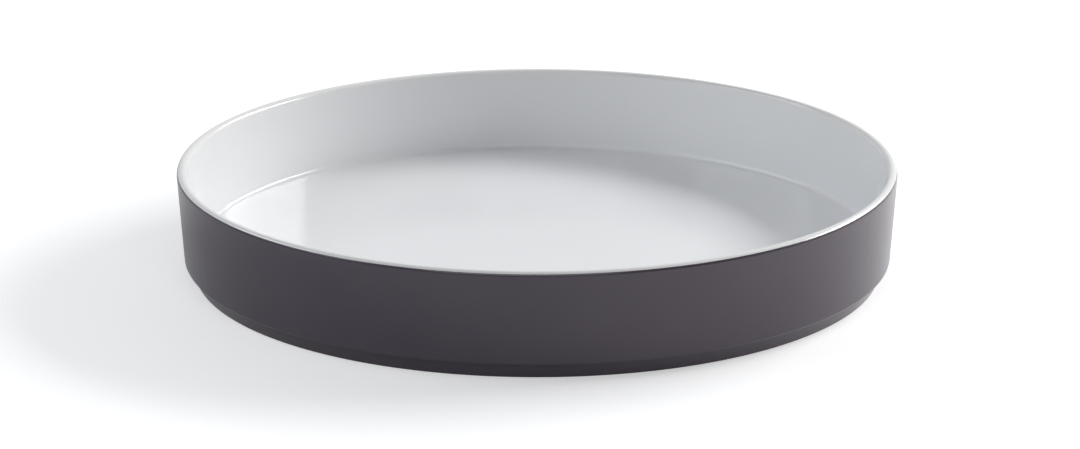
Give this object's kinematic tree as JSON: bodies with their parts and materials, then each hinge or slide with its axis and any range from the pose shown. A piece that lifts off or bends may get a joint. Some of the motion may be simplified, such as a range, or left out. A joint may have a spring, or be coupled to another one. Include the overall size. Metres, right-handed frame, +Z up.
{
  "type": "round serving dish",
  "caption": "Low round stoneware serving dish with near-upright walls and a rounded rim, glossy white inside and over the rim, dark satin outside, on an inset foot ring.",
  "frame": {"origin": "centre of the foot ring, on the surface that the dish stands on", "axes": "+Z up along the dish's axis of revolution; X and Y are any two level directions"},
  "size_m": [0.3198, 0.3198, 0.0478],
  "materials": {
    "bare_clay": "dry and matt, wiped free of glaze",
    "white_glaze": "glossy, faintly cool white",
    "dark_glaze": "satin, dark grey with a plum cast",
    "underside_glaze": "satin, dark grey with a plum cast"
  },
  "bodies": {
    "root": {"stoneware_body": "bare_clay", "white_glaze_lining": "white_glaze", "dark_glaze_coat": "dark_glaze", "underside_glaze": "underside_glaze"}
  },
  "joints": []
}
